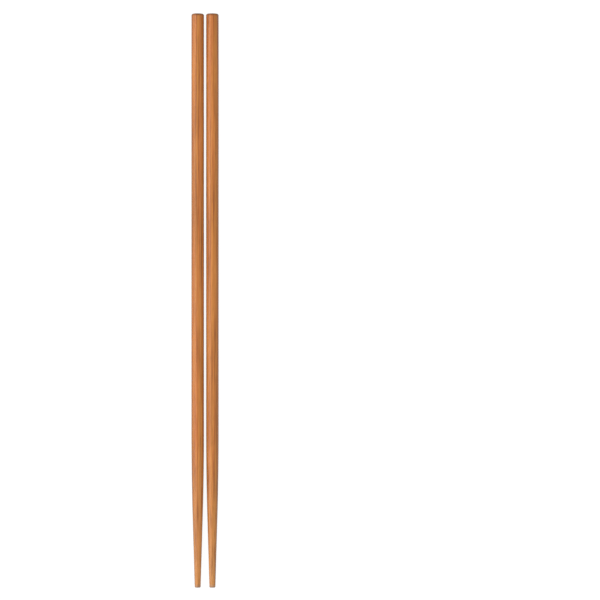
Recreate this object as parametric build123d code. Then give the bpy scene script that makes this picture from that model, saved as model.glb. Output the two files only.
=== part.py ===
from build123d import *
import math
import os

# Driving sizes of one chopstick, in millimetres
length = 240.0
body_diameter = 5.3
tip_diameter = 2.5
taper_length = 47.0
shoulder_length = 37.0

# Broken edge and its eased corners at the thick end
butt_chamfer = 0.45
butt_ease = 0.3

# Broken edge and its eased corners at the eating end
tip_chamfer = 0.15
tip_ease = 0.1

# Clear space between the grips of the two chopsticks as they lie side by side
pair_gap = 0.85

# Sizes that follow from the ones above
body_radius = body_diameter / 2
tip_radius = tip_diameter / 2
pitch = body_diameter + pair_gap
butt_y = length / 2
tip_y = -length / 2
shoulder_y = tip_y + taper_length
taper_angle = math.atan2(body_radius - tip_radius, taper_length)
shoulder_radius = shoulder_length / 2 / math.tan(taper_angle / 2)


def turned_profile():
    """Half of the stick's long section: X is the radius, Y runs from the tip up to the butt."""
    tip_chamfer_radius = tip_radius + tip_chamfer * math.tan(taper_angle)
    with BuildSketch(Plane.XY) as section:
        with BuildLine():
            outline = FilletPolyline(
                (0, butt_y),
                (body_radius - butt_chamfer, butt_y),
                (body_radius, butt_y - butt_chamfer),
                (body_radius, shoulder_y),
                (tip_chamfer_radius, tip_y + tip_chamfer),
                (tip_radius - tip_chamfer, tip_y),
                (0, tip_y),
                radius=[butt_ease, butt_ease, shoulder_radius, tip_ease, tip_ease],
            )
            Line(outline @ 1, outline @ 0)
        make_face()
    return section.sketch


def chopstick():
    """A round stick turned from one piece, lying along Y on the table plane with its butt at +Y."""
    with BuildPart() as stick:
        add(turned_profile())
        revolve(axis=Axis.Y)
    return Pos(0, 0, body_radius) * stick.part


# The pair lies side by side, evenly about the middle plane
os.makedirs("parts", exist_ok=True)
for name, side in (("left_chopstick", -1), ("right_chopstick", 1)):
    placed = Pos(side * pitch / 2, 0, 0) * chopstick()
    placed.label = name
    export_step(placed, f"parts/{name}.step")
    print(f"{name}: {placed.volume:.1f} mm3, box {placed.bounding_box().size}")

print(f"shoulder arc {shoulder_radius:.0f} mm, taper {math.degrees(taper_angle):.2f} degrees a side")
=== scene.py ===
import math

import bpy
import numpy as np
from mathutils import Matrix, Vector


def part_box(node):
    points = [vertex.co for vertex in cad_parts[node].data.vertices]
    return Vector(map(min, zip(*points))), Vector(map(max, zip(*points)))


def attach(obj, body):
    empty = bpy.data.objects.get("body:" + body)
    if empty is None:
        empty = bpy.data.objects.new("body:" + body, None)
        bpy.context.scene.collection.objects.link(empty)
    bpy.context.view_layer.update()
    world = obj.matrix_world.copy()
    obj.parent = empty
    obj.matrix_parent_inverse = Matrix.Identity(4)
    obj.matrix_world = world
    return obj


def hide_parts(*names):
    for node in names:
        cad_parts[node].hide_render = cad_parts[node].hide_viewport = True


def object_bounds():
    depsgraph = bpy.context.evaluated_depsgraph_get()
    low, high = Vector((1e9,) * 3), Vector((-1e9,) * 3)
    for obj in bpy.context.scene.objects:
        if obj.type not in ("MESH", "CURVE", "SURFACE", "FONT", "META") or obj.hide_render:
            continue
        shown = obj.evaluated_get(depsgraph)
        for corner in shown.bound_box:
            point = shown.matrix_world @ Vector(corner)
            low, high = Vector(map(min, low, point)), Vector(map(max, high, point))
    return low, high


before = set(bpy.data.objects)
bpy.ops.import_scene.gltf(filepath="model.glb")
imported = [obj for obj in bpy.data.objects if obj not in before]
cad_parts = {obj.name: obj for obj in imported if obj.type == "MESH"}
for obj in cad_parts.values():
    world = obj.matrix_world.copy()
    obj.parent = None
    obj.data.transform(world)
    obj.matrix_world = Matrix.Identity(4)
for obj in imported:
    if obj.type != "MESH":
        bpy.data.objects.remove(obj)        # two sticks on the table plane, butts at +Y
cadLow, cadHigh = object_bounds()
print("frame loaded:", sorted(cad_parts))


def putInScene(name, data):
    obj = bpy.data.objects.new(name, data)
    bpy.context.scene.collection.objects.link(obj)
    return obj


# Camera: looks straight down on the pair from far enough off to keep the sticks parallel
camera = {
    "imagePixels": 600,
    "pixelsPerMetre": 2390.0,                 # one stick is 573.6 pixels and 0.24 m long
    "pairCentrePixel": (205.05, 300.6),
    "distance": 1.25,
    "sensorWidth": 36.0,
    "farthestSeen": 50.0,
}


def placeCamera():
    frameWidth = camera["imagePixels"] / camera["pixelsPerMetre"]
    middlePixel = camera["imagePixels"] / 2
    acrossPixel, downPixel = camera["pairCentrePixel"]
    middle = (cadLow + cadHigh) / 2
    data = bpy.data.cameras.new("camera")
    data.sensor_width = camera["sensorWidth"]
    data.lens = camera["sensorWidth"] * camera["distance"] / frameWidth
    data.clip_end = camera["farthestSeen"]
    obj = putInScene("camera", data)
    obj.location = (
        middle.x + (middlePixel - acrossPixel) / camera["pixelsPerMetre"],
        middle.y + (downPixel - middlePixel) / camera["pixelsPerMetre"],
        middle.z + camera["distance"],
    )
    bpy.context.scene.camera = obj


placeCamera()
print("camera placed")


# Shader expressions: a Wire is one output socket, and arithmetic on it adds the nodes
class Wire:
    def __init__(self, tree, socket):
        self.tree = tree
        self.socket = socket

    # Any node at all: its type, its settings, what its sockets hold, and the output wanted
    def node(self, kind, settings=None, sockets=None, output=0):
        made = self.tree.nodes.new(kind)
        for name, value in (settings or {}).items():
            setattr(made, name, value)
        for name, value in (sockets or {}).items():
            if isinstance(value, Wire):
                self.tree.links.new(value.socket, made.inputs[name])
            else:
                made.inputs[name].default_value = value
        return Wire(self.tree, made.outputs[output])

    # On a vector or a colour, a plain number counts for all three parts
    def maths(self, operation, first, second):
        if self.socket.type == "VALUE":
            return self.node("ShaderNodeMath", {"operation": operation}, {0: first, 1: second})
        first, second = (
            (side,) * 3 if isinstance(side, (int, float)) else side for side in (first, second)
        )
        return self.node("ShaderNodeVectorMath", {"operation": operation}, {0: first, 1: second})

    def __add__(self, other):
        return self.maths("ADD", self, other)

    def __radd__(self, other):
        return self.maths("ADD", other, self)

    def __sub__(self, other):
        return self.maths("SUBTRACT", self, other)

    def __rsub__(self, other):
        return self.maths("SUBTRACT", other, self)

    def __mul__(self, other):
        return self.maths("MULTIPLY", self, other)

    def __rmul__(self, other):
        return self.maths("MULTIPLY", other, self)

    def __pow__(self, other):
        return self.maths("POWER", self, other)

    def __rpow__(self, other):
        return self.maths("POWER", other, self)

    def larger(self, other):
        return self.maths("MAXIMUM", self, other)

    def rise(self, low, high):                # 0 up to low, 1 from high, smooth in between
        return self.node(
            "ShaderNodeMapRange",
            {"interpolation_type": "SMOOTHSTEP"},
            {"Value": self, "From Min": low, "From Max": high},
        )

    def choose(self, first, second):          # the first colour at 0, the second at 1
        first, second = (
            colour if isinstance(colour, Wire) else (*colour, 1.0) for colour in (first, second)
        )
        sockets = {0: self, 6: first, 7: second}
        return self.node("ShaderNodeMix", {"data_type": "RGBA"}, sockets, output=2)


def startNodes(tree):                         # empties a tree, and gives its Object coordinates
    tree.nodes.clear()
    return Wire(tree, tree.nodes.new("ShaderNodeTexCoord").outputs["Object"])


def newMaterial(name):
    material = bpy.data.materials.new(name)
    material.use_nodes = True
    return material, startNodes(material.node_tree)


def finish(surface, kind="ShaderNodeOutputMaterial"):
    output = surface.tree.nodes.new(kind)
    surface.tree.links.new(surface.socket, output.inputs["Surface"])


# The stick as turned, in metres
stick = {
    "seeds": {"left_chopstick": 22716, "right_chopstick": 26672},
    "tipRadius": 0.00125,
    "taperLength": 0.047,
    "shoulderLength": 0.037,
    "buttChamfer": 0.00045,
    "buttEase": 0.0003,
    "tipChamfer": 0.00015,
    "tipEase": 0.0001,
    "facesAround": 160,
    "stepAlong": 0.0006,                      # from ring to ring along the side
    "stepAtEnds": 0.0002,                     # on the two end faces
    "stepOnEdges": 0.00004,                   # over the broken edges
    "fewestOnArc": 3,
}


# The half section from the middle of the butt face to the middle of the tip face. Each corner is
# swapped for the arc tangent to both its sides, and straights and arcs are cut into even steps.
def turnedOutline(bodyRadius, buttY, tipY):
    tipRadius = stick["tipRadius"]
    buttChamfer, tipChamfer = stick["buttChamfer"], stick["tipChamfer"]
    slope = (bodyRadius - tipRadius) / stick["taperLength"]
    shoulderRadius = stick["shoulderLength"] / 2 / math.tan(math.atan(slope) / 2)
    corners = np.array([
        (0, buttY),
        (bodyRadius - buttChamfer, buttY),
        (bodyRadius, buttY - buttChamfer),
        (bodyRadius, tipY + stick["taperLength"]),
        (tipRadius + tipChamfer * slope, tipY + tipChamfer),
        (tipRadius - tipChamfer, tipY),
        (0, tipY),
    ])
    body, face, edge = stick["stepAlong"], stick["stepAtEnds"], stick["stepOnEdges"]
    arcs = [                                  # radius, step on the straight before it, step on it
        (stick["buttEase"], face, edge),
        (stick["buttEase"], edge, edge),
        (shoulderRadius, body, body),
        (stick["tipEase"], body, edge),
        (stick["tipEase"], edge, edge),
    ]
    pieces, last = [], corners[0]
    for (radius, step, arcStep), before, corner, after in zip(
        arcs, corners, corners[1:], corners[2:]
    ):
        into = (corner - before) / np.linalg.norm(corner - before)
        out = (after - corner) / np.linalg.norm(after - corner)
        turn = math.acos(into @ out)
        start = corner - into * radius * math.tan(turn / 2)
        inward = (out - into * math.cos(turn)) / math.sin(turn)
        pieces.append(evenSteps(last, start, step))
        count = max(stick["fewestOnArc"], math.ceil(radius * turn / arcStep))
        angle = np.linspace(0, turn, count)[:, None]
        arc = start + radius * (into * np.sin(angle) + inward * (1 - np.cos(angle)))
        pieces.append(arc[:-1])
        last = arc[-1]
    pieces.append(evenSteps(last, corners[-1], face))
    pieces.append(corners[-1:])
    return np.concatenate(pieces)


def evenSteps(start, end, step):              # from start up to, but not with, the end
    count = max(1, math.ceil(np.linalg.norm(end - start) / step))
    return start + (end - start) * (np.arange(count) / count)[:, None]


# The outward normal at each point of the outline, square to the line between its two neighbours,
# and the point's place along the outline, from 0 at the butt's middle to 1 at the tip's
def alongOutline(outline):
    tangent = np.gradient(outline, axis=0)
    tangent /= np.linalg.norm(tangent, axis=1)[:, None]
    outward = np.stack([-tangent[:, 1], tangent[:, 0]], 1)
    lengths = np.linalg.norm(np.diff(outline, axis=0), axis=1)
    return outward, np.concatenate([[0], np.cumsum(lengths)]) / lengths.sum()


# What the tools and use leave on a stick, in metres. Cells are how many random values go round
# it and how many along it.
wear = {
    "grooveCells": (72, 26),
    "grooveDepthCells": (56, 41),
    "hollowCells": (5, 9),
    "nickCells": (23, 60),
    "toneCells": (3, 8),                      # slow changes of colour
    "lastPlace": 0.9999,                      # where the tip's middle lies along the cells
    "grooveDepth": 0.000016,                  # fine grooves that the sanding left open
    "grooveSharpness": 8,
    "shallowestGroove": 0.4,                  # as a share of that depth
    "hollowDepth": 0.00003,                   # slow hollows along the stick
    "nickDepth": 0.00003,                     # how unevenly the two broken edges are cut
    "faintestEdge": 0.5,
    "rim": (0.00065, 4),                      # the dark rim's reach from the butt, its sharpness; the rim is partly painted shade
    "tipWear": (0.001, 3),                    # the same for the grey of use at the eating end
    "cleanEnd": 0.6,                          # how much less of that grey the end face has
    # The darker side, partly the cane's skin and partly painted shade on the flanks and underside:
    # its middle in turns from +X towards +Z, and its reach to each side
    "skinAndShadeSide": {"left_chopstick": (-0.30, 0.290), "right_chopstick": (-0.16, 0.278)},
    "skinAndShadeWander": 0.03,
    "skinAndShadeSoftness": 0.01,
}


# A random value at each cell of a grid wrapped round the stick, joined by smooth steps both ways
def wrappedNoise(random, turns, places, cellsAround, cellsAlong):
    values = random.random((cellsAlong + 2, cellsAround))
    across, along = turns * cellsAround, places * cellsAlong
    i, j = np.floor(across).astype(int), np.floor(along).astype(int)
    u, v = ((t * t * (3 - 2 * t)) for t in (across - i, along - j))
    left, right = i % cellsAround, (i + 1) % cellsAround
    near = values[j, left] * (1 - u) + values[j, right] * u
    far = values[j + 1, left] * (1 - u) + values[j + 1, right] * u
    return near * (1 - v) + far * v


def fade(distance, reach, sharpness):         # 1 at no distance, near 0 well past the reach
    return np.exp(-(distance / reach) ** sharpness)


# The radius and the place along Y of every point of every ring, and the values that the finish
# reads there. A point lies inward of the outline, along its normal, by grooves and hollows on the
# side and by nicks on the broken edges. A groove is a narrow line of noise: 1 less its distance
# from the middle of its range, to a high power.
def workedSurface(name, outline, outward, turns, places):
    random = np.random.default_rng(stick["seeds"][name])
    lines, lineDepth, hollows, nicks, tone = (
        wrappedNoise(random, turns, places, *wear[cells])
        for cells in ("grooveCells", "grooveDepthCells", "hollowCells", "nickCells", "toneCells")
    )
    shallowest = wear["shallowestGroove"]
    grooves = (1 - np.abs(2 * lines - 1)) ** wear["grooveSharpness"]
    grooves = grooves * (shallowest + (1 - shallowest) * lineDepth)
    cut = outward[:, 1:] ** 2                 # 0 along the stick, 1 on the two end faces
    edges = 2 * np.sqrt(cut * (1 - cut))      # 1 in the middle of each broken edge
    depth = (1 - cut) * (wear["grooveDepth"] * grooves + wear["hollowDepth"] * hollows)
    depth += edges * wear["nickDepth"] * nicks
    radius = outline[:, :1] - depth * outward[:, :1]
    y = outline[:, 1:] - depth * outward[:, 1:]

    # The dark rim next to the butt and the dark broken edges: partly cutter marks, partly painted
    # shade
    rim = fade(outline[0, 1] - outline[:, 1:], *wear["rim"]) * (1 - cut)
    slim = 1 - outline[:, :1] / outline[:, 0].max()
    # The darker side: partly the cane's skin, partly painted shade that darkens the flanks and
    # underside
    middle, reach = wear["skinAndShadeSide"][name]
    away = np.abs((turns - middle + 0.5) % 1 - 0.5) + wear["skinAndShadeWander"] * (tone - 0.5)
    return radius, y, {
        "endGrain": np.broadcast_to(cut, turns.shape),
        "edge": np.maximum(edges, rim) * (wear["faintestEdge"] + nicks),
        "groove": grooves * (1 - cut),
        "slim": np.broadcast_to(slim * (1 - cut), turns.shape),
        "worn": fade(y - outline[-1, 1], *wear["tipWear"]) * (1 - wear["cleanEnd"] * cut),
        "tone": tone,
        "skinAndShade": 1 / (1 + np.exp((away - reach) / wear["skinAndShadeSoftness"])),
    }


# Rings of points joined by quads, and each end closed by a fan round its middle point
def ringMesh(name, rings, buttMiddle, tipMiddle):
    rows, around = rings.shape[:2]
    ring = np.arange(rows * around).reshape(rows, around)
    onward = np.roll(ring, -1, axis=1)
    quads = np.stack([ring[:-1], onward[:-1], onward[1:], ring[1:]], 2).reshape(-1, 4)
    butt = np.stack([np.full(around, ring.size), onward[0], ring[0]], 1)
    tip = np.stack([np.full(around, ring.size + 1), ring[-1], onward[-1]], 1)
    points = np.concatenate([rings.reshape(-1, 3), [buttMiddle, tipMiddle]])
    mesh = bpy.data.meshes.new(name)
    mesh.from_pydata(points.tolist(), [], quads.tolist() + butt.tolist() + tip.tolist())
    mesh.polygons.foreach_set("use_smooth", np.ones(len(mesh.polygons), bool))
    return mesh


# How the surface lies flat in a square: the side unrolled into one strip whose edges meet
# straight underneath, and beside it each end as a disc that takes the first of the side with it
layout = {
    "endReach": 0.001,                        # how much of the side goes with each end, in metres
    "strip": (0.004, 0.800),                  # its left and right edges
    "stripEnds": (0.004, 0.996),              # its bottom and top edges
    "discRadius": 0.092,
    "buttDisc": (0.900, 0.250),
    "tipDisc": (0.900, 0.750),
}


# Strip: across is the turn about the axis, and up is the length along the outline. Discs: the
# angle is the same turn, and the radius is the length along the outline from the end's middle.
def layFlat(mesh, outline, share):
    rows, around = len(outline), stick["facesAround"]
    fromButt, fromTip = outline[0, 1] - outline[:, 1], outline[:, 1] - outline[-1, 1]
    buttRow = np.flatnonzero(fromButt < layout["endReach"])[-1]
    tipRow = np.flatnonzero(fromTip < layout["endReach"])[0]

    # The ring and the side of each corner of each face, in the mesh's order: quads, butt, tip
    sides = (np.arange(around) + around // 4) % around
    quadRow = np.repeat(np.arange(1, rows - 2), around)[:, None]
    quadSide = np.tile(sides, rows - 3)[:, None]
    row = np.concatenate([
        (quadRow + [0, 0, 1, 1]).ravel(),
        np.tile([0, 1, 1], around),
        np.tile([-1, -2, -2], around) + rows,
    ])
    side = np.concatenate([
        (quadSide + [0, 1, 1, 0]).ravel(),
        (sides[:, None] + [0.5, 1, 0]).ravel(),
        (sides[:, None] + [0.5, 0, 1]).ravel(),
    ])
    faceRow = np.concatenate([
        np.repeat(quadRow, 4), np.zeros(3 * around, int), np.full(3 * around, rows - 2),
    ])[:, None]

    turn, length = side / around, share[row]
    left, right = layout["strip"]
    bottom, top = layout["stripEnds"]
    along = (length - share[buttRow]) / (share[tipRow] - share[buttRow])
    strip = np.stack([left + (right - left) * turn, bottom + (top - bottom) * along], 1)
    angle = 2 * math.pi * turn
    circle = layout["discRadius"] * np.stack([np.cos(angle), np.sin(angle)], 1)
    butt = layout["buttDisc"] + circle * (1, -1) * (length / share[buttRow])[:, None]
    tip = layout["tipDisc"] + circle * ((1 - length) / (1 - share[tipRow]))[:, None]
    flat = np.where(faceRow < buttRow, butt, np.where(faceRow >= tipRow, tip, strip))
    bakeMap = mesh.uv_layers.new(name="OFBake")      # a map to bake the finish into
    bakeMap.data.foreach_set("uv", flat.astype(np.float32).ravel())


# A surface of revolution about the stick's axis: every point of the outline, as worked, is turned
# through a full circle. The finish's values lie at the mesh's points.
def carveStick(name):
    low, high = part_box(name)
    axisX, axisZ = (low.x + high.x) / 2, (low.z + high.z) / 2
    outline = turnedOutline(min(high.x - low.x, high.z - low.z) / 2, high.y, low.y)
    outward, share = alongOutline(outline)
    around = np.arange(stick["facesAround"]) / stick["facesAround"]
    turns, places = np.meshgrid(around, share * wear["lastPlace"])
    radius, y, values = workedSurface(name, outline, outward, turns, places)

    angle = 2 * math.pi * turns
    rings = np.stack([axisX + radius * np.cos(angle), y, axisZ + radius * np.sin(angle)], 2)[1:-1]
    mesh = ringMesh(name + ".turned", rings, (axisX, high.y, axisZ), (axisX, low.y, axisZ))
    layFlat(mesh, outline, share)
    for label, field in values.items():
        field = np.concatenate([field[1:-1].ravel(), field[[0, -1], 0]]).astype(np.float32)
        mesh.attributes.new(label, "FLOAT", "POINT").data.foreach_set("value", field)
    mesh.update()

    obj = putInScene(name + ".turned", mesh)
    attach(obj, "root")
    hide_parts(name)
    print(f"{obj.name}: {len(rings)} rings of {len(around)}, {len(mesh.polygons)} faces")
    return obj


# Bamboo steamed until it is brown through, sanded and left satin
bamboo = {
    "red": (0.492, 0.138, 0.029),
    "yellow": (0.442, 0.156, 0.026),
    "dark": (0.256, 0.070, 0.014),
    "pale": (0.626, 0.249, 0.053),
    "skinAndShade": (0.205, 0.074, 0.032),            # the side of the cane wall that was next to the skin, also painted shade on the flanks and underside
    "slim": (0.652, 0.325, 0.112),            # paler wood that the taper cuts into
    "strand": (0.140, 0.042, 0.012),
    "cutEnd": (0.200, 0.055, 0.012),
    "edge": (0.125, 0.045, 0.014),            # broken edges and the butt's rim: partly darkened by the cutter, partly painted shade
    "worn": (0.340, 0.215, 0.145),
    "patch": (0.0013, 0.080, 2.0),            # width and length of the grain in metres, its detail
    "streak": (0.00055, 0.028, 3.0),
    "fibre": (0.00009, 0.004, 2.0),
    "strandSpacing": (0.00036, 0.12),
    "strandScatter": 0.9,
    "wander": 0.0006,                         # how far the grain strays sideways
    "wanderRate": (12.0, 22.0, 12.0),         # and how often in a metre
    "wanderDetail": 1.0,
    "patchRange": (0.36, 0.64),               # between which values of the noise a change happens
    "streakRange": (0.48, 0.72),
    "fibreRange": (0.5, 0.8),
    "strandRange": (0.22, 0.42),
    "strandFibreRange": (0.3, 0.6),
    "share": {                                # how strongly each layer covers what is under it
        "tone": 0.35,
        "darkStreak": 0.80,
        "paleStreak": 0.70,
        "skinAndShade": 0.50,
        "fibre": 0.30,
        "groove": 0.35,
        "worn": 1.5,                          # times the fibre noise
        "cutEnd": 0.32,
        "edge": 0.75,
        "sideStrand": 0.40,
        "endStrand": 0.35,
    },
    "slimPower": 0.6,
    "roughness": 0.33,
    "roughnessOfFibre": 0.25,
    "roughnessOfEnds": 0.2,
    "specular": 0.30,
    # How far fibres and streaks stand up, and how far strands sink, as shares of the bump's depth
    "height": {"fibre": 0.5, "streak": 0.3, "strand": 0.4},
    "bumpDepth": 0.00003,
    "bumpStrength": 0.6,
}


def stretch(place, across, along):            # coordinates in which the grain is 1 wide and 1 long
    return place * (1 / across, 1 / along, 1 / across)


def grainNoise(place, across, along, detail):
    settings = {"noise_dimensions": "3D"}
    sockets = {"Vector": stretch(place, across, along), "Scale": 1.0, "Detail": detail}
    return place.node("ShaderNodeTexNoise", settings, sockets)


# Each layer is laid over the ones before it, by its share
def bambooColour(patch, streak, fibre, strands, values):
    share, fine = bamboo["share"], bamboo["fibreRange"]
    onSide = fibre.rise(*bamboo["strandFibreRange"]) * share["sideStrand"]
    layers = [
        (values["slim"] ** bamboo["slimPower"], "slim"),
        (values["tone"].rise(0.0, 1.0) * share["tone"], "pale"),
        (streak.rise(*bamboo["streakRange"]) * share["darkStreak"], "dark"),
        ((1 - streak).rise(*bamboo["streakRange"]) * share["paleStreak"], "pale"),
        # the darker side: partly the cane's skin, partly painted shade on the flanks and underside
        (values["skinAndShade"] * share["skinAndShade"], "skinAndShade"),
        (fibre.rise(*fine) * share["fibre"], "dark"),
        ((1 - fibre).rise(*fine) * share["fibre"], "pale"),
        (values["groove"] * share["groove"], "strand"),
        (values["worn"] * (fibre * share["worn"]), "worn"),
        (values["endGrain"] * share["cutEnd"], "cutEnd"),
        # broken edges and the butt's rim: partly cutter marks, partly painted shade
        (values["edge"] * share["edge"], "edge"),
        (strands * (onSide + values["endGrain"] * share["endStrand"]), "strand"),
    ]
    colour = patch.rise(*bamboo["patchRange"]).choose(bamboo["red"], bamboo["yellow"])
    for amount, name in layers:
        colour = amount.choose(colour, bamboo[name])
    return colour


def steamedBamboo():
    material, place = newMaterial("steamedBamboo")
    values = {
        name: place.node("ShaderNodeAttribute", {"attribute_name": name}, output="Fac")
        for name in ("endGrain", "edge", "groove", "slim", "worn", "tone", "skinAndShade")
    }
    sockets = {
        "Vector": place * bamboo["wanderRate"], "Scale": 1.0, "Detail": bamboo["wanderDetail"],
    }
    drift = place.node("ShaderNodeTexNoise", None, sockets, "Color")
    grain = place + (drift - 0.5) * (bamboo["wander"], 0.0, bamboo["wander"])
    patch, streak, fibre = (
        grainNoise(grain, *bamboo[name]) for name in ("patch", "streak", "fibre")
    )
    sockets = {
        "Vector": stretch(grain, *bamboo["strandSpacing"]),
        "Scale": 1.0,
        "Randomness": bamboo["strandScatter"],
    }
    fromStrand = place.node("ShaderNodeTexVoronoi", {"feature": "F1"}, sockets, "Distance")
    strands = 1 - fromStrand.rise(*bamboo["strandRange"])

    height = bamboo["height"]
    sockets = {
        "Height": fibre * height["fibre"] + streak * height["streak"] - strands * height["strand"],
        "Distance": bamboo["bumpDepth"],
        "Strength": bamboo["bumpStrength"],
    }
    bump = place.node("ShaderNodeBump", None, sockets, "Normal")
    uneven = (fibre - 0.5) * bamboo["roughnessOfFibre"]
    sockets = {
        "Base Color": bambooColour(patch, streak, fibre, strands, values),
        "Roughness": bamboo["roughness"] + uneven + values["endGrain"] * bamboo["roughnessOfEnds"],
        "Specular IOR Level": bamboo["specular"],
        "Normal": bump,
    }
    finish(place.node("ShaderNodeBsdfPrincipled", None, sockets))
    return material


bambooMaterial = steamedBamboo()
for name in sorted(stick["seeds"]):
    carveStick(name).data.materials.append(bambooMaterial)
print("sticks turned and finished")


# Studio: a pale table, white where it is looked at, and soft lamps from the left
studio = {
    "floorHalfWidth": 12.0,
    "tableColour": (0.20, 0.20, 0.20, 1.0),   # as the light on the sticks meets it
    "seenColour": (0.13, 0.13, 0.13, 1.0),    # as it is looked at, for the shadow
    "seenWhite": 0.93,                        # and the plain white over that
    "ambient": 0.875,
    "white": (1.0, 1.0, 1.0, 1.0),
    "lamps": {                                # lean to the left, lean to the top, width, strength
        "softbox": (35.0, 0.0, 40.0, 0.50),
        "window": (64.0, 0.0, 46.0, 1.10),
    },
}


# 1 for what the camera, a reflection or a clear body shows, 0 for the light on other things
def seenDirectly(wire):
    straight, mirrored, through = (
        wire.node("ShaderNodeLightPath", output=output)
        for output in ("Is Camera Ray", "Is Glossy Ray", "Is Transmission Ray")
    )
    return straight.larger(mirrored).larger(through)


def paleTable():
    half = studio["floorHalfWidth"]
    corners = [(-half, -half, 0), (half, -half, 0), (half, half, 0), (-half, half, 0)]
    mesh = bpy.data.meshes.new("table")
    mesh.from_pydata(corners, [], [(0, 1, 2, 3)])
    material, place = newMaterial("paleTable")
    plain = place.node("ShaderNodeBsdfDiffuse", None, {"Color": studio["tableColour"]})
    lit = place.node("ShaderNodeBsdfDiffuse", None, {"Color": studio["seenColour"]})
    glow = place.node("ShaderNodeEmission", None, {"Strength": studio["seenWhite"]})
    seen = place.node("ShaderNodeAddShader", None, {0: lit, 1: glow})
    finish(place.node("ShaderNodeMixShader", None, {0: seenDirectly(place), 1: plain, 2: seen}))
    mesh.materials.append(material)
    obj = putInScene("table", mesh)


def whiteRoom():
    world = bpy.data.worlds.new("room")
    world.use_nodes = True
    place = startNodes(world.node_tree)
    dim, bright = (
        place.node("ShaderNodeBackground", None, {"Color": studio["white"], "Strength": strength})
        for strength in (studio["ambient"], 1.0)
    )
    surface = place.node("ShaderNodeMixShader", None, {0: seenDirectly(place), 1: dim, 2: bright})
    finish(surface, "ShaderNodeOutputWorld")
    bpy.context.scene.world = world


def softLamps():
    for name, (left, top, width, strength) in studio["lamps"].items():
        data = bpy.data.lights.new(name, "SUN")
        data.energy = strength
        data.angle = math.radians(width)
        lamp = putInScene(name, data)
        lamp.rotation_euler = (-math.radians(top), -math.radians(left), 0)


paleTable()
whiteRoom()
softLamps()
bpy.context.scene.view_settings.view_transform = "Standard"
print("studio lit")
